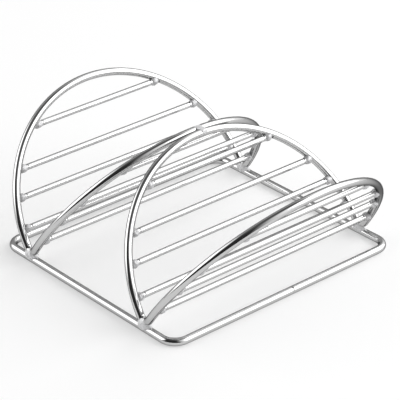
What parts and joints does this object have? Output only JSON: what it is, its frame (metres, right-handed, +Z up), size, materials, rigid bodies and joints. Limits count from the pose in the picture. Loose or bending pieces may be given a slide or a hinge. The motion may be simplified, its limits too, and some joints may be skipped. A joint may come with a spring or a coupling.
{
  "type": "taco holder",
  "caption": "Welded round-wire table holder with arched V-shaped pockets side by side on a rounded rectangular base frame.",
  "frame": {"origin": "on the table under the middle of the holder, at the centre of the base frame", "axes": "+X along the pockets, +Y from the front pocket to the back pocket, +Z up"},
  "size_m": [0.1658, 0.2006, 0.0757],
  "materials": {
    "frame_wire": "polished",
    "cross_wire": "polished"
  },
  "bodies": {
    "root": {"base_frame": "frame_wire", "back_pocket_loop": "frame_wire", "front_pocket_loop": "frame_wire", "back_outer_cross_wire_1": "cross_wire", "back_outer_cross_wire_2": "cross_wire", "back_outer_cross_wire_3": "cross_wire", "back_outer_cross_wire_4": "cross_wire", "back_inner_cross_wire_1": "cross_wire", "back_inner_cross_wire_2": "cross_wire", "back_inner_cross_wire_3": "cross_wire", "back_inner_cross_wire_4": "cross_wire", "front_inner_cross_wire_1": "cross_wire", "front_inner_cross_wire_2": "cross_wire", "front_inner_cross_wire_3": "cross_wire", "front_inner_cross_wire_4": "cross_wire", "front_outer_cross_wire_1": "cross_wire", "front_outer_cross_wire_2": "cross_wire", "front_outer_cross_wire_3": "cross_wire", "front_outer_cross_wire_4": "cross_wire"}
  },
  "joints": []
}
